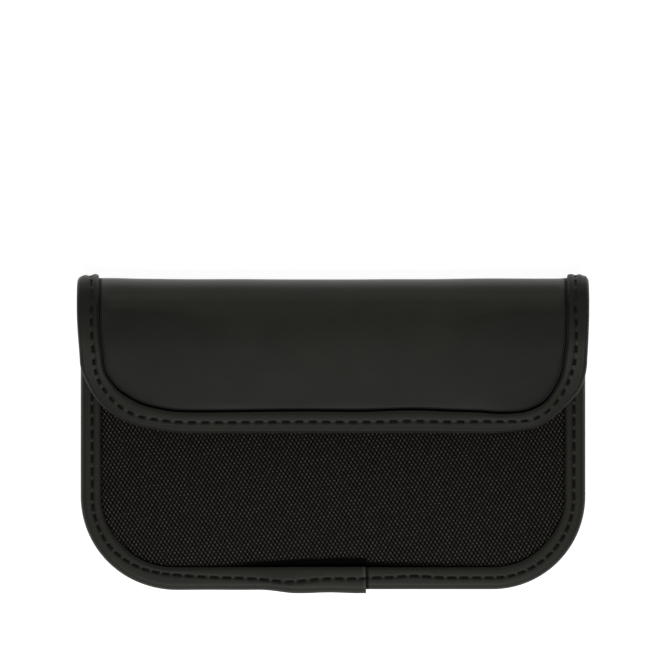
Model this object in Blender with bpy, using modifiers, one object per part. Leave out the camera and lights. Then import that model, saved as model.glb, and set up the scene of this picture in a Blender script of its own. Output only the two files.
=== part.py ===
"""Card and key pouch with a fold-over flap, closed and lying on its back.

One padded sheet makes the back and, over the fold, the flap. A woven front panel and three layers of
shielding cloth are bound to it by a tape that runs all round the edge. Metres, with +Z up: X runs along
the fold, the fold is at +Y, and the front faces up. Every piece is cloth, foam or tape, so each one is
an open surface that is given its thickness.
"""

import math

import bmesh
import bpy
from mathutils import Vector

# Outline of the closed pouch, over its binding
FOLD_WIDTH = 0.145  # along the fold, which stands a little wider than the body
BODY_WIDTH = 0.1426
HEIGHT = 0.090  # from the crest of the fold to the lowest point of the lapped tape
BODY_CORNER = 0.0269
FLAP_CORNER = 0.0245
FLAP_REACH = 0.0447  # from the crest of the fold to the flap's free edge
WIDENING_STARTS = 0.025  # below the crest
WIDENING_ENDS = 0.007  # below the crest

# Thicknesses of the materials, and the clearance between two of them
TAPE = 0.0006
LEATHER = 0.0009
FOAM = 0.0007
SHIELD = 0.0003
WEAVE = 0.0006
MOUTH_TAPE = 0.0005
HOOK = 0.0006
LOOP = 0.0006
GAP = 0.00025

# What the two pockets hold, empty and at rest
CARD_SPACE = 0.00095
KEY_SPACE = 0.00465

# Binding: how far it covers each edge, how round its folds are, and the lap where its ends meet
BODY_COVER = 0.0057
FLAP_COVER = 0.0062
TAPE_BEND = 0.0013
EDGE_PLAY = 0.00025  # between the tape's inside and the edges of the sheets
CREST_GAP = 0.0006  # between the two halves of the fold
LAP_LEFT = 0.015
LAP_RIGHT = 0.0095
LAP_DROP = 0.0011  # how far the lapped end hangs below the rest of the edge
LAP_RAMP = 0.008
LAP_COVER = 0.0059
LAP_SLANT = 0.0005
LAP_UNDER = 0.0008  # where the lapped end stops, above the surface that the pouch lies on

# Front panel, its mouth, and the divider behind it
MOUTH_ABOVE_STRIP = 0.0025  # between the mouth's tape and the closure strip
MOUTH_COVER = 0.0055
MOUTH_END_PLAY = 0.0036  # between the mouth's tape and the tape at the sides
MOUTH_BEND = 0.0008
DIVIDER_BELOW_MOUTH = 0.007
SWELL = 0.0009  # extra height of the woven panel where the flap doesn't press on it
SWELL_BELOW_FLAP = 0.0143
SWELL_HALF_LENGTH = 0.018
PANEL_FLAT_EDGE = 0.008  # the panel stays flat this far in from the outline
PANEL_SLOPE = 0.020

# Padding
PAD_EDGE = 0.0135  # the foam stops this far in from the outline
PAD_SLOPE_STARTS = 0.0014  # past the tape's inner edge
PAD_SLOPE_ENDS = 0.0046
FOAM_BELOW_ARC = 0.001

# Flap
FLAP_SLOPE = 0.0072  # over which the free edge comes down to the woven panel
FLAP_PLAY = 0.00035
FLAP_SIDE_RISES = 0.0137  # from the free edge, where the flap's sides start up to the fold

# Hook and loop strips
STRIP_HALF_LENGTH = 0.030
STRIP_WIDTH = 0.012
STRIP_FROM_EDGE = 0.0077

# Shares and powers of the forms
CROWN_POWER_SHARE = 3.5  # how square the swell is from side to side
SLOPE_POWER_SHARE = 2.5  # how steeply the woven panel rises from its edge
COLUMN_POWER_SHARE = 1.7  # how the grid crowds towards the edges

# Counts of rows and columns
CORNER_COUNT = 8
STRAIGHT_COUNT = 6
ARC_COUNT = 6
COLUMN_COUNT = 8  # on each side of the middle
FEW_COUNT = 4
SIDE_COUNT = 4
STEP_DOWN_COUNT = 3
FRONT_COUNT = 14
BEND_COUNT = 2
FLANGE_COUNT = 2
STRIP_ROW_COUNT = 2

# Looks, as the shares of red, green and blue and the share of roughness
LEATHER_SHARES = ((0.020, 0.020, 0.018), 0.55)
TAPE_SHARES = ((0.024, 0.023, 0.020), 0.60)
WEAVE_SHARES = ((0.010, 0.010, 0.009), 0.80)
SHIELD_SHARES = ((0.110, 0.112, 0.115), 0.60)
FOAM_SHARES = ((0.050, 0.050, 0.050), 0.95)
STRIP_SHARES = ((0.012, 0.012, 0.012), 0.95)

# Levels, from the surface that the pouch lies on. The names say which face of which sheet they are.
COVER = TAPE + GAP
BACK_EDGE = COVER
BACK_FOAM = LEATHER + GAP
BACK_SHIELD = BACK_FOAM + FOAM + GAP
DIVIDER_EDGE = BACK_SHIELD + SHIELD + GAP
FRONT_SHIELD_EDGE = DIVIDER_EDGE + SHIELD + GAP
FRONT_EDGE = FRONT_SHIELD_EDGE + SHIELD + GAP
BODY_STACK = FRONT_EDGE + WEAVE + GAP + TAPE
DIVIDER_RISE = CARD_SPACE - GAP
FRONT_RISE = DIVIDER_EDGE + DIVIDER_RISE + SHIELD + KEY_SPACE - FRONT_SHIELD_EDGE
FRONT_TOP = FRONT_EDGE + FRONT_RISE + WEAVE

# Depths below the flap's outer surface
FLAP_FOAM = LEATHER + GAP
FLAP_SHIELD = FLAP_FOAM + FOAM + GAP
FLAP_HOOK = FLAP_SHIELD + SHIELD + GAP
FLAP_STACK = FLAP_SHIELD + SHIELD + GAP + TAPE

# The fold: its crest is the line that the flap turns about
THICKNESS = FRONT_TOP + GAP + LOOP + GAP + HOOK + FLAP_HOOK
AXIS_HEIGHT = THICKNESS / 2
CREST = HEIGHT / 2
SHEET_CREST = CREST - COVER
ARC_START = SHEET_CREST - AXIS_HEIGHT
TAPE_ARC = CREST - ARC_START
LEATHER_ARC = SHEET_CREST - ARC_START
SHIELD_ARC = TAPE_ARC - BACK_SHIELD
BODY_BOTTOM = LAP_DROP - HEIGHT / 2
FLAP_BOTTOM = CREST - FLAP_REACH
SHEET_INSET = TAPE + GAP + EDGE_PLAY
STRIP_BOTTOM = FLAP_BOTTOM + STRIP_FROM_EDGE
MOUTH = STRIP_BOTTOM + STRIP_WIDTH + MOUTH_ABOVE_STRIP + MOUTH_COVER
MOUTH_HALF_LENGTH = BODY_WIDTH / 2 - BODY_COVER - MOUTH_END_PLAY
FRONT_END = MOUTH - MOUTH_TAPE - GAP - EDGE_PLAY
DIVIDER_END = MOUTH - DIVIDER_BELOW_MOUTH
SWELL_CENTRE = FLAP_BOTTOM - SWELL_BELOW_FLAP
FLAP_LOW_SIDE = BODY_STACK + GAP + FLAP_STACK
FLAP_FRONT_LEVEL = FRONT_TOP + FLAP_PLAY + FLAP_STACK
AXIS_PLAY = GAP / 4  # the pivot line lies this far outside the crest


def smooth(t):
    """0 up to t = 0, 1 from t = 1, and an even S between."""
    t = min(max(t, 0), 1)
    return t * t * (3 - 2 * t)


def half_width(y):
    """Half the width of the pouch at height y: the body's, widening to the fold's."""
    start = CREST - WIDENING_STARTS
    widened = smooth((y - start) / (WIDENING_STARTS - WIDENING_ENDS))
    return (BODY_WIDTH + (FOLD_WIDTH - BODY_WIDTH) * widened) / 2


def outline_half(y, bottom, corner, inset):
    """Half the width at height y of an outline with round lower corners, moved in by inset."""
    side = half_width(max(y, bottom + corner))
    below = bottom + corner - y
    if below <= 0:
        return side - inset
    return side - corner + math.sqrt(max((corner - inset) ** 2 - below**2, 0))


def edge_distance(x, y, bottom, corner):
    """How far (x, y) lies inside an outline with round lower corners and no top."""
    side = half_width(max(y, bottom + corner))
    across = abs(x) - (side - corner)
    down = bottom + corner - y
    if across > 0 and down > 0:
        return corner - math.hypot(across, down)
    return corner - max(across, down)


def crown(x, y):
    """From 0 at the sides to 1 in the middle."""
    return 1 - min(abs(x) / half_width(y), 1) ** CROWN_POWER_SHARE


def swelling(x, y):
    """From 0 along the body's bound edge to 1 in the middle of the front."""
    inside = edge_distance(x, y, BODY_BOTTOM, BODY_CORNER) - PANEL_FLAT_EDGE
    t = min(max(inside / PANEL_SLOPE, 0), 1)
    return crown(x, y) * (1 - (1 - t) ** SLOPE_POWER_SHARE)


def front_height(x, y):
    """Height of the woven panel's outer face."""
    away = min(abs(y - SWELL_CENTRE) / SWELL_HALF_LENGTH, 1)
    swell = SWELL * (1 + math.cos(math.pi * away)) / 2
    return FRONT_EDGE + WEAVE + (FRONT_RISE + swell) * swelling(x, y)


def flap_height(x, y):
    """Height of the flap's outer surface, over its tape and its padding."""
    side_start = FLAP_BOTTOM + FLAP_SIDE_RISES
    side_rise = smooth((y - side_start) / (ARC_START - side_start))
    side = FLAP_LOW_SIDE + (THICKNESS - FLAP_LOW_SIDE) * side_rise
    middle_rise = smooth((y - FLAP_BOTTOM) / FLAP_SLOPE)
    middle = FLAP_FRONT_LEVEL + (THICKNESS - FLAP_FRONT_LEVEL) * middle_rise
    return side + (max(middle, side) - side) * crown(x, y)


def under_tape(x, y, bottom, corner, cover):
    """1 where a sheet lies under the tape, and 0 from where its padding is full."""
    past = edge_distance(x, y, bottom, corner) - cover - PAD_SLOPE_STARTS
    return 1 - smooth(past / (PAD_SLOPE_ENDS - PAD_SLOPE_STARTS))


def outline_rows(bottom, corner, inset, top):
    """Heights of the rows of a sheet: closer together round its lower corners."""
    rows = []
    for i in range(CORNER_COUNT + 1):
        angle = math.pi / 2 * i / CORNER_COUNT
        rows.append(bottom + corner - (corner - inset) * math.cos(angle))
    return rows + spread(bottom + corner, top, STRAIGHT_COUNT)


def arc_angles():
    """Angles from the start of the fold to its crest, and half a gap short of it."""
    last = math.pi / 2 - CREST_GAP / 2 / AXIS_HEIGHT
    return [last * (i + 1) / ARC_COUNT for i in range(ARC_COUNT)]


def column_shares(half_columns):
    """Places across a sheet, from -1 at its left edge to 1 at its right one."""
    shares = []
    for k in range(-half_columns, half_columns + 1):
        from_edge = 1 - abs(k) / half_columns
        shares.append(math.copysign(1 - from_edge**COLUMN_POWER_SHARE, k))
    return shares


def even_shares(steps):
    return [2 * i / steps - 1 for i in range(steps + 1)]


def plain_material(name, colour, roughness):
    material = bpy.data.materials.new(name)
    material.use_nodes = True
    shader = material.node_tree.nodes["Principled BSDF"]
    shader.inputs["Base Color"].default_value = (*colour, 1)
    shader.inputs["Roughness"].default_value = roughness
    shader.inputs["Metallic"].default_value = 0
    return material


def sheet(name, rows, columns, place, thickness, along_normal, look):
    """A grid of rows and columns, put in place and given its thickness on one side."""
    bm = bmesh.new()
    bmesh.ops.create_grid(bm, x_segments=len(columns) - 1, y_segments=len(rows) - 1, size=1)
    for vertex in bm.verts:
        column = round((vertex.co.x + 1) / 2 * (len(columns) - 1))
        row = round((vertex.co.y + 1) / 2 * (len(rows) - 1))
        vertex.co = place(rows[row], columns[column])
    mesh = bpy.data.meshes.new(name)
    bm.to_mesh(mesh)
    bm.free()
    mesh.shade_smooth()
    mesh.set_sharp_from_angle(angle=math.pi / 4)
    obj = bpy.data.objects.new(name, mesh)
    obj.data.materials.append(plain_material(name, *look))
    solidify = obj.modifiers.new("thickness", "SOLIDIFY")
    solidify.thickness = thickness
    solidify.offset = 1 if along_normal else -1
    solidify.use_even_offset = True
    solidify.use_quality_normals = True
    return obj


def u_profile(cover, bend, stack):
    """Points round a folded tape's outside, as (inward, down through the stack), face to face."""
    points = []
    for i in range(FLANGE_COUNT):
        points.append((cover + (bend - cover) * i / FLANGE_COUNT, 0))
    for i in range(BEND_COUNT + 1):
        angle = math.pi / 2 * i / BEND_COUNT
        points.append((bend - bend * math.sin(angle), bend - bend * math.cos(angle)))
    for i in range(BEND_COUNT + 1):
        angle = math.pi / 2 * i / BEND_COUNT
        points.append((bend - bend * math.cos(angle), stack - bend + bend * math.sin(angle)))
    for i in range(FLANGE_COUNT):
        points.append((bend + (cover - bend) * (i + 1) / FLANGE_COUNT, stack))
    return points


def spread(start, end, steps):
    """Even steps from start to end, without start."""
    return [start + (end - start) * (i + 1) / steps for i in range(steps)]


def edge_path(bottom, corner, side_heights):
    """Stations of the bound edge from the left crest round the free end to the right crest.

    Each is (x, y, inward x, inward y, angle round the fold), and the angle is 0 off the fold.
    """
    right = []
    for i in range(FRONT_COUNT // 2 + 1):
        share = 2 * i / FRONT_COUNT
        right.append(((half_width(bottom) - corner) * share, bottom, 0, 1, 0))
    for i in range(CORNER_COUNT):
        angle = math.pi / 2 * (i + 1) / CORNER_COUNT
        across, down = math.sin(angle), math.cos(angle)
        centre = half_width(bottom + corner) - corner
        x, y = centre + corner * across, bottom + corner - corner * down
        right.append((x, y, -across, down, 0))
    for y in side_heights:
        right.append((half_width(y), y, -1, 0, 0))
    for angle in arc_angles():
        right.append((half_width(CREST), ARC_START, -1, 0, angle))
    left = [(-x, y, -inward_x, inward_y, angle) for x, y, inward_x, inward_y, angle in right[:0:-1]]
    return left + right


def bound_edge(station, inward, through, height, side):
    """A point of the tape: inward from the edge, and through the stack from its outer face.

    side is 1 for the half of the fold below its crest and -1 for the half above it.
    """
    x, y, inward_x, inward_y, angle = station
    x, y = x + inward_x * inward, y + inward_y * inward
    if angle == 0:
        return Vector((x, y, height(x, y) + side * through))
    across = Vector((0, math.sin(angle), -side * math.cos(angle)))
    point = Vector((x, ARC_START, AXIS_HEIGHT))
    point.y += TAPE_ARC * across.y
    point.z += AXIS_HEIGHT * across.z
    normal = Vector((0, across.y / TAPE_ARC, across.z / AXIS_HEIGHT)).normalized()
    return point - normal * through


def fold_point(x, reach, height, angle, side):
    """A point on an arc of the fold, from its start at angle 0 towards the crest."""
    y = ARC_START + reach * math.sin(angle)
    return Vector((x, y, AXIS_HEIGHT - side * height * math.cos(angle)))


def sheet_rows(bottom, corner, inset):
    """Rows of a sheet that goes round the fold: (height, 0), then (start of the fold, angle)."""
    rows = [(y, 0) for y in outline_rows(bottom, corner, inset, ARC_START)]
    return rows + [(ARC_START, angle) for angle in arc_angles()]


def rear_panel():
    def place(row, share):
        y, angle = row
        x = share * outline_half(y, BODY_BOTTOM, BODY_CORNER, SHEET_INSET)
        if angle > 0:
            x = share * (half_width(CREST) - SHEET_INSET)
        lifted = BACK_EDGE * under_tape(x, y, BODY_BOTTOM, BODY_CORNER, BODY_COVER)
        if angle == 0:
            return Vector((x, y, lifted))
        return fold_point(x, LEATHER_ARC, AXIS_HEIGHT - lifted, angle, 1)

    rows = sheet_rows(BODY_BOTTOM, BODY_CORNER, SHEET_INSET)
    return sheet("rear_panel", rows, column_shares(COLUMN_COUNT), place, LEATHER, True, LEATHER_SHARES)


def rear_foam():
    def place(y, share):
        x = share * outline_half(y, BODY_BOTTOM, BODY_CORNER, PAD_EDGE)
        return Vector((x, y, BACK_FOAM))

    rows = outline_rows(BODY_BOTTOM, BODY_CORNER, PAD_EDGE, ARC_START - FOAM_BELOW_ARC)
    return sheet("rear_foam", rows, even_shares(FEW_COUNT), place, FOAM, True, FOAM_SHARES)


def rear_shield_lining():
    def place(row, share):
        y, angle = row
        x = share * outline_half(y, BODY_BOTTOM, BODY_CORNER, SHEET_INSET)
        if angle == 0:
            return Vector((x, y, BACK_SHIELD))
        x = share * (half_width(CREST) - SHEET_INSET)
        return fold_point(x, SHIELD_ARC, AXIS_HEIGHT - BACK_SHIELD, angle, 1)

    rows = sheet_rows(BODY_BOTTOM, BODY_CORNER, SHEET_INSET)
    columns = even_shares(FEW_COUNT)
    return sheet("rear_shield_lining", rows, columns, place, SHIELD, True, SHIELD_SHARES)


def pocket_divider():
    def place(y, share):
        x = share * outline_half(y, BODY_BOTTOM, BODY_CORNER, SHEET_INSET)
        return Vector((x, y, DIVIDER_EDGE + DIVIDER_RISE * swelling(x, y)))

    rows = outline_rows(BODY_BOTTOM, BODY_CORNER, SHEET_INSET, DIVIDER_END)
    columns = column_shares(COLUMN_COUNT)
    return sheet("pocket_divider", rows, columns, place, SHIELD, True, SHIELD_SHARES)


def front_layer(name, depth, thickness, look):
    """A sheet of the front, whose outer face lies depth below the woven panel's."""

    def place(y, share):
        x = share * outline_half(y, BODY_BOTTOM, BODY_CORNER, SHEET_INSET)
        return Vector((x, y, front_height(x, y) - depth))

    rows = outline_rows(BODY_BOTTOM, BODY_CORNER, SHEET_INSET, FRONT_END)
    return sheet(name, rows, column_shares(COLUMN_COUNT), place, thickness, False, look)


def front_mouth_binding():
    """The tape folded over the top edge of the front panel and its lining."""
    stack = MOUTH_TAPE + GAP + WEAVE + GAP + SHIELD + GAP + MOUTH_TAPE

    def place(share, point):
        inward, through = point
        x, y = share * MOUTH_HALF_LENGTH, MOUTH - inward
        return Vector((x, y, front_height(x, y) + GAP + MOUTH_TAPE - through))

    profile = u_profile(MOUTH_COVER, MOUTH_BEND, stack)
    rows = column_shares(COLUMN_COUNT)
    return sheet("front_mouth_binding", rows, profile, place, MOUTH_TAPE, True, TAPE_SHARES)


def body_binding():
    """The tape round the sides and the bottom, and up to the crest of the fold at both ends."""

    def place(station, point):
        inward, through = point
        past_mouth = smooth((station[1] - MOUTH) / (ARC_START - MOUTH))
        stack = BODY_STACK + (FLAP_STACK - BODY_STACK) * past_mouth
        if through > BODY_STACK / 2:
            through += stack - BODY_STACK
        return bound_edge(station, inward, through, lambda x, y: 0, 1)

    profile = u_profile(BODY_COVER, TAPE_BEND, BODY_STACK)
    start = BODY_BOTTOM + BODY_CORNER
    sides = spread(start, MOUTH, SIDE_COUNT) + spread(MOUTH, ARC_START, STEP_DOWN_COUNT)
    rows = edge_path(BODY_BOTTOM, BODY_CORNER, sides)
    return sheet("body_binding", rows, profile, place, TAPE, True, TAPE_SHARES)


def binding_overlap():
    """The end of the tape, which laps over its own start in the middle of the bottom edge."""
    top = BODY_STACK + GAP + TAPE
    first_drop = GAP + TAPE

    def place(share, point):
        inward, through = point
        x = (share + 1) / 2 * (LAP_LEFT + LAP_RIGHT) - LAP_LEFT
        if share == 1:
            x += LAP_SLANT * inward / LAP_COVER
        drop = first_drop + (LAP_DROP - first_drop) * smooth((x + LAP_LEFT) / LAP_RAMP)
        return Vector((x, BODY_BOTTOM - drop + inward, top - through))

    profile = u_profile(LAP_COVER, TAPE_BEND, top - LAP_UNDER)
    over_and_down = [p for p in profile if p[1] < top - LAP_UNDER - TAPE_BEND]
    over_and_down.append((0, top - LAP_UNDER))
    rows = even_shares(FRONT_COUNT // 2)
    return sheet("binding_overlap", rows, over_and_down, place, TAPE, False, TAPE_SHARES)


def strip(name, level, thickness, look):
    """A closure strip on the face that level gives, growing away from it by its thickness."""

    def place(row, share):
        x = share * STRIP_HALF_LENGTH
        y = STRIP_BOTTOM + (row + 1) / 2 * STRIP_WIDTH
        return Vector((x, y, level(x, y)))

    rows = even_shares(STRIP_ROW_COUNT)
    return sheet(name, rows, even_shares(2 * FEW_COUNT), place, thickness, False, look)


def flap_panel():
    def place(row, share):
        y, angle = row
        x = share * outline_half(y, FLAP_BOTTOM, FLAP_CORNER, SHEET_INSET)
        if angle > 0:
            x = share * (half_width(CREST) - SHEET_INSET)
        sunk = COVER * under_tape(x, y, FLAP_BOTTOM, FLAP_CORNER, FLAP_COVER)
        if angle == 0:
            return Vector((x, y, flap_height(x, y) - sunk))
        return fold_point(x, LEATHER_ARC, AXIS_HEIGHT - sunk, angle, -1)

    rows = sheet_rows(FLAP_BOTTOM, FLAP_CORNER, SHEET_INSET)
    return sheet("flap_panel", rows, column_shares(COLUMN_COUNT), place, LEATHER, False, LEATHER_SHARES)


def flap_foam():
    def place(y, share):
        x = share * outline_half(y, FLAP_BOTTOM, FLAP_CORNER, PAD_EDGE)
        return Vector((x, y, flap_height(x, y) - FLAP_FOAM))

    rows = outline_rows(FLAP_BOTTOM, FLAP_CORNER, PAD_EDGE, ARC_START - FOAM_BELOW_ARC)
    return sheet("flap_foam", rows, column_shares(COLUMN_COUNT), place, FOAM, False, FOAM_SHARES)


def flap_lining():
    def place(row, share):
        y, angle = row
        x = share * outline_half(y, FLAP_BOTTOM, FLAP_CORNER, SHEET_INSET)
        if angle == 0:
            return Vector((x, y, flap_height(x, y) - FLAP_SHIELD))
        x = share * (half_width(CREST) - SHEET_INSET)
        return fold_point(x, SHIELD_ARC, AXIS_HEIGHT - FLAP_SHIELD, angle, -1)

    rows = sheet_rows(FLAP_BOTTOM, FLAP_CORNER, SHEET_INSET)
    return sheet("flap_lining", rows, column_shares(COLUMN_COUNT), place, SHIELD, False, SHIELD_SHARES)


def flap_binding():
    """The tape round the flap's free edge, and up to the crest of the fold at both ends."""

    def place(station, point):
        return bound_edge(station, *point, flap_height, -1)

    profile = u_profile(FLAP_COVER, TAPE_BEND, FLAP_STACK)
    sides = spread(FLAP_BOTTOM + FLAP_CORNER, ARC_START, SIDE_COUNT)
    rows = edge_path(FLAP_BOTTOM, FLAP_CORNER, sides)
    return sheet("flap_binding", rows, profile, place, TAPE, False, TAPE_SHARES)


def pivot(name, y, z, pieces, collection):
    """An empty on the line that its pieces turn about, with the pieces where they were made."""
    empty = bpy.data.objects.new(name, None)
    empty.location = (0, y, z)
    collection.objects.link(empty)
    for piece in pieces:
        collection.objects.link(piece)
        piece.parent = empty
        piece.location = (0, -y, -z)


def main():
    for obj in list(bpy.data.objects):
        bpy.data.objects.remove(obj, do_unlink=True)
    collection = bpy.data.collections.new("card_and_key_pouch")
    bpy.context.scene.collection.children.link(collection)
    body = [
        rear_panel(),
        rear_foam(),
        rear_shield_lining(),
        pocket_divider(),
        front_layer("front_shield_lining", WEAVE + GAP, SHIELD, SHIELD_SHARES),
        front_layer("front_panel", 0, WEAVE, WEAVE_SHARES),
        front_mouth_binding(),
        body_binding(),
        binding_overlap(),
        strip("loop_strip", lambda x, y: front_height(x, y) + GAP + LOOP, LOOP, STRIP_SHARES),
    ]
    flap = [
        flap_panel(),
        flap_foam(),
        flap_lining(),
        flap_binding(),
        strip("hook_strip", lambda x, y: flap_height(x, y) - FLAP_HOOK, HOOK, STRIP_SHARES),
    ]
    pivot("pouch_body", 0, 0, body, collection)
    pivot("flap_fold_line", CREST + AXIS_PLAY, AXIS_HEIGHT, flap, collection)


main()
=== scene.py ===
"""Looks of a card and key pouch with a fold-over flap, closed and lying on its back.

Lengths are millimetres until a mesh is made. X runs along the fold, Y towards it, and Z up through the
front. A place on the padded sheet is (x, y, turn, depth): turn is the angle round the fold, 0 on the
back and pi on the flap, and depth is measured in from the outer face of the edge tape.
"""

import math

import bpy
import numpy as np
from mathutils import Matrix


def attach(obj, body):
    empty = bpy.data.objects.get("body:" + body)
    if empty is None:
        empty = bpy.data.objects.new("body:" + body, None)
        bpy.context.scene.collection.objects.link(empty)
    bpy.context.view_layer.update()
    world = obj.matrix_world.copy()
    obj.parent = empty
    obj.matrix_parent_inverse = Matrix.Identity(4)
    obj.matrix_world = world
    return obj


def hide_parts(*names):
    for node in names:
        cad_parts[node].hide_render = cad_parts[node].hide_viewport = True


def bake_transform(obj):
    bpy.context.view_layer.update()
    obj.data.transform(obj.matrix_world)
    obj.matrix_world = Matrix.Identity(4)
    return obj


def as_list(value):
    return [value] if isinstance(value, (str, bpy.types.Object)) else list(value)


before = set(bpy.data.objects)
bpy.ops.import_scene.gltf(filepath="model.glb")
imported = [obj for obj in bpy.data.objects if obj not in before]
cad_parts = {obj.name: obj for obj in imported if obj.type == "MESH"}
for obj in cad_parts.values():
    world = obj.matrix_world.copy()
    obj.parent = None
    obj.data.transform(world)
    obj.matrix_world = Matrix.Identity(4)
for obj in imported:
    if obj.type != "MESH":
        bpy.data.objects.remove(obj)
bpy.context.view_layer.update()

MM = 0.001

# Outline, as traced in the photograph. The flap's corners are quarter ellipses.
FOLD_WIDTH, BODY_WIDTH = 144.6, 143.2
BODY_WIDENS, FLAP_WIDENS = (20.0, 38.0), (12.0, 36.0)
CREST = 45.0
BODY_BOTTOM, FLAP_BOTTOM = -44.15, 0.3
BODY_CORNER, FLAP_CORNER = (26.4, 26.4), (28.3, 20.6)
SHEET_INSET = 1.1
BODY_COVER, FLAP_COVER = 5.9, 5.8
BOTTOM_COVER = 0.45  # more along the bottom
BODY_SHAPE = (BODY_BOTTOM, BODY_CORNER, BODY_WIDENS)
FLAP_SHAPE = (FLAP_BOTTOM, FLAP_CORNER, FLAP_WIDENS)

# Levels
THICKNESS = 13.8
AXIS_HEIGHT = THICKNESS / 2
ARC_START = 37.25
TAPE_ARC = CREST - ARC_START
BODY_STACK, FLAP_STACK = 5.2, 3.25
LINING_DEPTH, PAD_DEPTH = 2.1, 1.13
UNDER_TAPE, CREASE = 0.62, 1.1  # depth of the leatherette under the tape, and its further drop beside it
DIVIDER_EDGE, FRONT_LINING_EDGE, FRONT_EDGE = 2.65, 2.95, 4.3
DIVIDER_RISE, FRONT_RISE = 0.7, 5.1
DIVIDER_END, FRONT_END, MOUTH = 21.0, 27.0, 28.0
FLAP_SIDE = 8.4  # the flap's sides, at their lowest

# Thicknesses
TAPE, LEATHER, FOAM, SHIELD, WEAVE = 0.6, 0.9, 0.7, 0.3, 0.5

LAP_END = 9.4  # the left tape's cut end, right of the middle of the bottom
LAP_RISE, LAP_DROP = 0.68, 1.02  # how far it stands out, forwards and down
BODY_SEAM, FLAP_SEAM, MOUTH_SEAM = 3.4, 3.05, 4.1  # in from the outer edge of the tape
BODY_STITCH, FLAP_STITCH, FOLD_STITCH = 0.32, 0.23, 0.3  # half a stitch's groove as a share of the pitch
FOLD_LENGTH, FOLD_PITCH, MOUTH_PITCH = 22.8, 3.8, 3.4
THREAD = 0.2  # radius
PAD_INSET = 13.3
STRIP_HALF = 30.0  # of the closure's length
STRIP_MIDDLE, STRIP_REACH = 14.0, 6.0  # in y


# --- forms


def unit(t):
    """t held between 0 and 1."""
    return np.clip(t, 0, 1)


def smooth(t):
    """0 up to t = 0, 1 from t = 1, and an even S between."""
    t = unit(t)
    return t * t * (3 - 2 * t)


def climb(x, start, over):
    """0 up to start, 1 from start + over, and an even S between."""
    return smooth((x - start) / over)


def stacked(*values):
    """Numbers or grids joined as the coordinates of points."""
    return np.stack(np.broadcast_arrays(*values), -1)


def bell(x, middle, reach):
    """A hump of 1 at the middle: exp(-((x - middle) / reach)^2)."""
    return np.exp(-(((x - middle) / reach) ** 2))


def fading(x, start, reach):
    """1 up to start, then exp(-(x - start) / reach)."""
    return np.exp(-np.maximum(x - start, 0) / reach)


def between(first, second, share):
    """The first value where share is 0, the second where it is 1."""
    return first * (1 - share) + second * share


def waves(x, y, seed, length):
    """Slow unevenness of soft goods, from -1 to 1: five sine waves of about that length, turned by seed."""
    rng = np.random.default_rng(seed)
    spans = (0, math.pi), (0, 2 * math.pi), (0.7, 1.5)
    total = 0.0
    for angle, phase, share in zip(*(rng.uniform(*span, 5) for span in spans)):
        k = 2 * math.pi / (length * share)
        total = total + np.sin(k * (x * math.cos(angle) + y * math.sin(angle)) + phase)
    return total / 5


def half_width(y, widens=BODY_WIDENS):
    """Half the width at height y: the body's, widening to the fold's between two heights."""
    start, end = widens
    return (BODY_WIDTH + (FOLD_WIDTH - BODY_WIDTH) * smooth((y - start) / (end - start))) / 2


def crown(x, y, power=3.5):
    """From 0 at the sides to 1 in the middle: the higher the power, the flatter the middle."""
    return 1 - np.minimum(np.abs(x) / half_width(y), 1) ** power


def flap_height(x, y):
    """Outer face of the flap's tape and padding: low at the sides, arched towards its free edge."""
    past = np.maximum(34.5 - y, 0)
    droop = 0.036 * np.where(past < 18, past**2 / 36, past - 9)
    middle = THICKNESS - droop + 0.05 * waves(x, y, 3, 45) * smooth((34 - y) / 10)
    side = FLAP_SIDE + (middle - FLAP_SIDE) * smooth((y + 4) / (ARC_START - 5))
    return side + (middle - side) * crown(x, y, 5)


def more_cover(y):
    """How much further the body's tape reaches in along the bottom than at its sides."""
    return BOTTOM_COVER * smooth((-18 - y) / 20)


def swelling(x, y):
    """From 0 along the body's bound edge to 1 in the middle of the front."""
    radius = BODY_CORNER[0]
    side = half_width(np.maximum(y, BODY_BOTTOM + radius))
    across = np.abs(x) - (side - radius)
    down = BODY_BOTTOM + radius - y
    inside = radius - np.where((across > 0) & (down > 0), np.hypot(across, down), np.maximum(across, down))
    t = unit((inside - 7) / 21)
    return crown(x, y) * (1 - (1 - t) ** 2.5)


def front_height(x, y):
    """Outer face of the woven panel."""
    swell = 0.9 * (1 + np.cos(np.pi * np.minimum(np.abs(y + 14) / 18, 1))) / 2
    return FRONT_EDGE + (FRONT_RISE + swell) * swelling(x, y)


# Where sewing has drawn the flap's edge off its even outline: x and y of each pull's middle, push and reach.
PULLS = (
    (-66.5, 21, 1.1, 0, 3.6, 6),
    (-65, 13.5, 0.7, 0.5, 4.5, 4.5),
    (-57.5, 12, 0.15, 0.4, 5, 4.5),
    (-50, 8, 0, 0.42, 6, 5),
    (-64.5, 6.5, 0.05, 0.05, 4.5, 4),
    (-70.3, 15, 0.45, 0.1, 3, 4),
    (-9, 6.8, 0, 0.3, 16, 5),
    (22.5, 6.8, 0, 0.6, 11, 5),
    (55, 8, 0.4, -1.35, 6.5, 5),
    (59, 2.5, 0.2, -0.5, 6, 4),
    (65.5, 19.5, -0.7, 0, 4, 4.5),
    (70, 12, 0.4, -0.1, 3.5, 4.5),
    (47, 6.6, 0.03, -0.3, 3.8, 3.8),
    (53.7, 8, 0.05, -0.2, 3.8, 3.8),
    (59.5, 10.9, 0.5, -0.7, 3.8, 3.8),
    (-65.5, 22, -0.3, 0, 3.2, 6.5),
    (-72, 23, 0.2, 0, 2.6, 7),
    (-58, 10, 0.1, 0.18, 3.8, 3.8),
    (-50, 1.2, 0.05, 0.4, 6, 3.2),
)


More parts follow.
